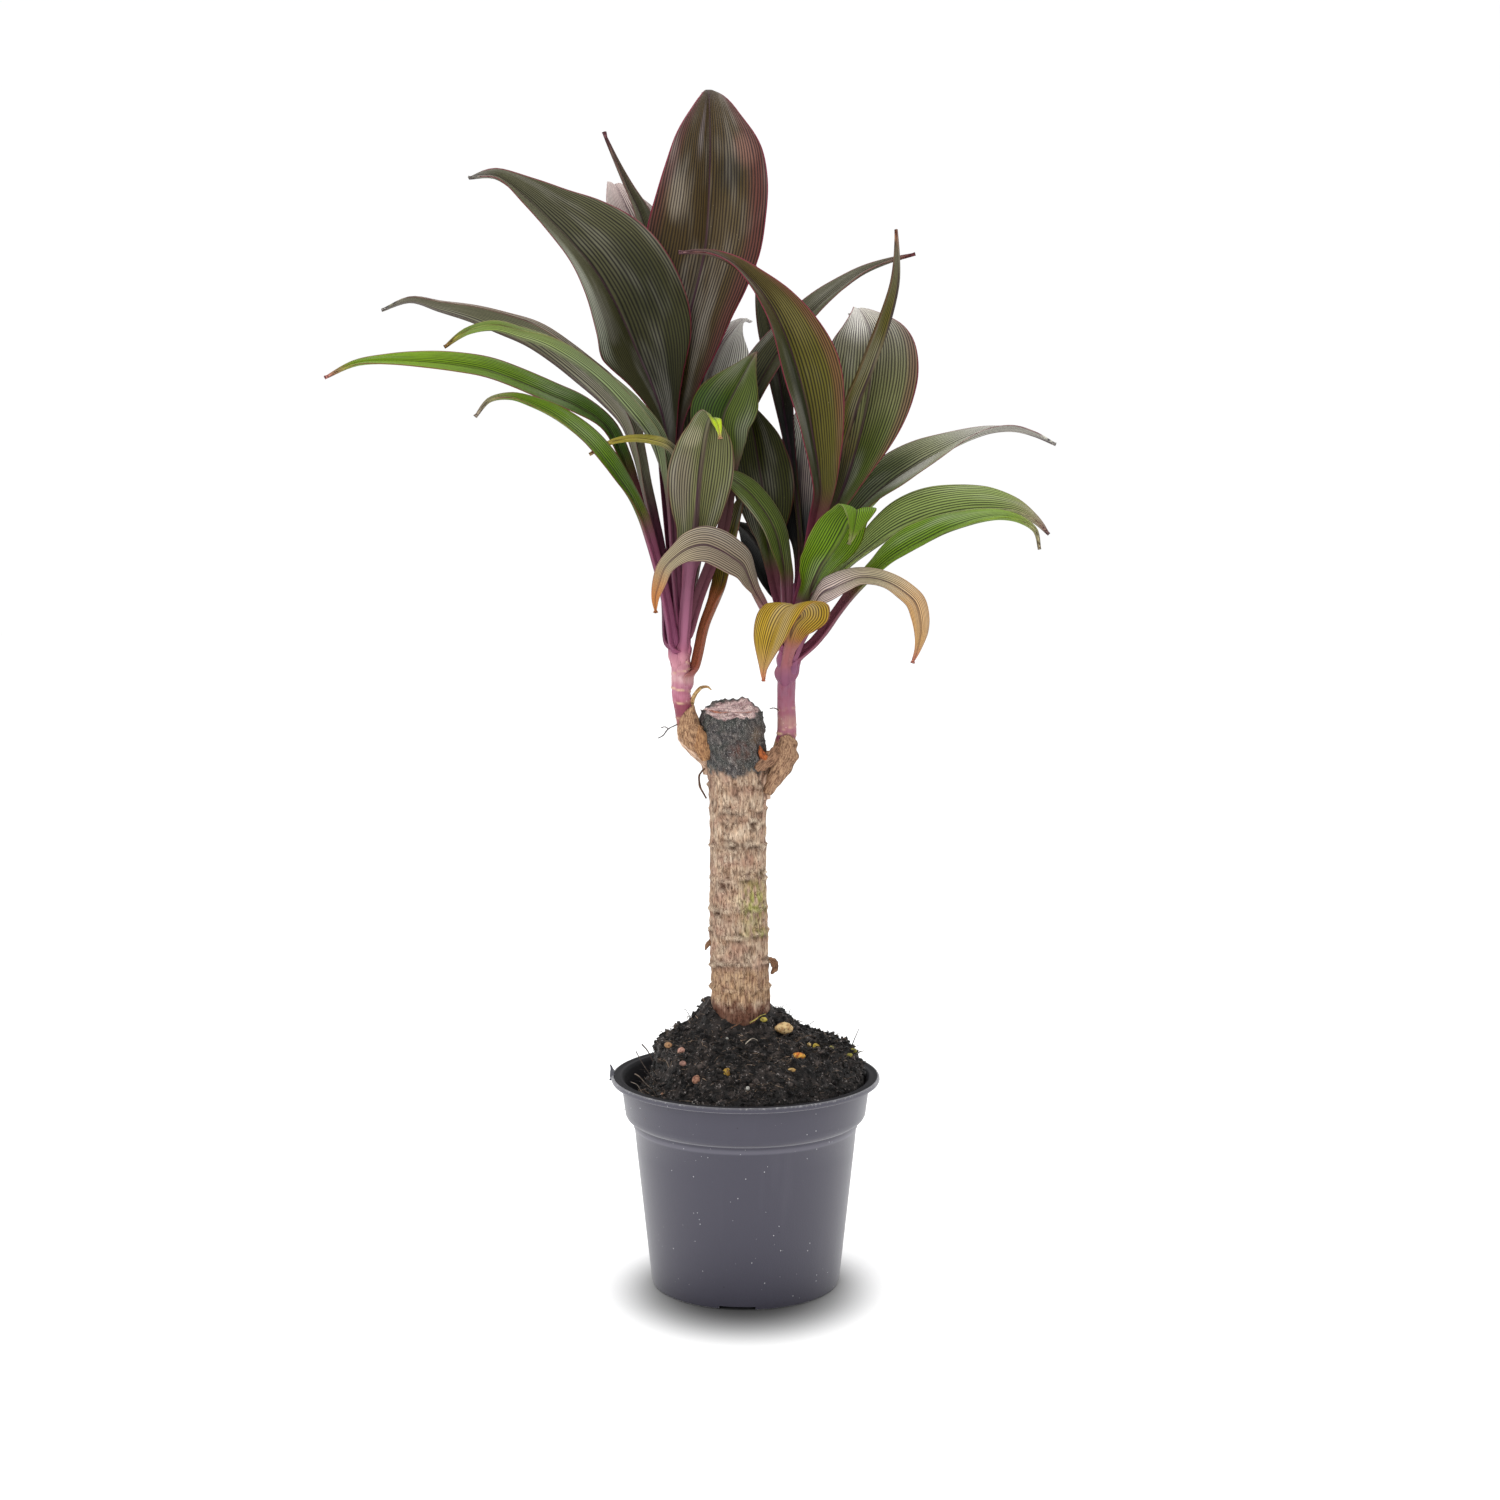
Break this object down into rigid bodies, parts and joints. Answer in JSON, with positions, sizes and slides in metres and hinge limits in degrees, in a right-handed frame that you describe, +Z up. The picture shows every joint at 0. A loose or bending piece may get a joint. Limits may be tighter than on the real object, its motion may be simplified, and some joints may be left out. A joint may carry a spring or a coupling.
{
  "type": "potted ti plant",
  "caption": "Ti plant grown from a cut cane: leafy shoots with long arching green and bronze leaves, in a mound of peat in a plain round nursery pot.",
  "frame": {"origin": "middle of the pot's flat underside, on the surface that it stands on", "axes": "+Z up along the cane, +X to the right and +Y away from the viewer in the picture's view"},
  "size_m": [0.3262, 0.1361, 0.5341],
  "materials": {
    "pot": "satin",
    "peat": "rough",
    "grain_brown": "matte",
    "grain_yellow": "matte",
    "grain_white": "matte",
    "bark_bit": "rough",
    "cane": "rough",
    "shoot": "satin",
    "bud_scale": "matte",
    "dry_sheath": "matte",
    "leaf_bronze": "satin",
    "leaf_dark": "satin",
    "leaf_mauve": "satin",
    "leaf_sage": "satin",
    "leaf_bright": "satin",
    "leaf_olive": "satin",
    "leaf_green": "satin",
    "leaf_orange": "satin",
    "leaf_silver": "satin"
  },
  "bodies": {
    "root": {"pot": "pot", "soil": "peat", "grain_tan": "grain_brown", "grain_orange": "grain_yellow", "grain_yellow": "grain_yellow", "grain_white": "grain_white", "grain_pale": "grain_brown", "grain_front": "grain_yellow", "bark_fleck": "bark_bit", "bark_chip": "bark_bit", "cane": "cane", "left_shoot": "shoot", "right_shoot": "shoot", "bud_scale": "bud_scale", "dried_strip": "dry_sheath", "leaf_left_01": "leaf_bronze", "leaf_left_02": "leaf_dark", "leaf_left_03": "leaf_mauve", "leaf_left_04": "leaf_sage", "leaf_left_05": "leaf_bright", "leaf_left_06": "leaf_bright", "leaf_left_07": "leaf_olive", "leaf_left_08": "leaf_mauve", "leaf_left_09": "leaf_olive", "leaf_left_10": "leaf_green", "leaf_left_11": "leaf_olive", "leaf_left_12": "leaf_mauve", "leaf_left_13": "leaf_silver", "leaf_left_14": "leaf_dark", "leaf_right_01": "leaf_mauve", "leaf_right_02": "leaf_green", "leaf_right_03": "leaf_olive", "leaf_right_04": "leaf_olive", "leaf_right_05": "leaf_olive", "leaf_right_06": "leaf_dark", "leaf_right_07": "leaf_sage", "leaf_right_08": "leaf_bright", "leaf_right_09": "leaf_bright", "leaf_right_10": "leaf_bright", "leaf_right_11": "leaf_mauve", "leaf_right_12": "leaf_orange", "leaf_right_13": "leaf_olive", "leaf_right_14": "leaf_dark", "leaf_right_15": "leaf_silver", "leaf_right_16": "leaf_dark"}
  },
  "joints": []
}
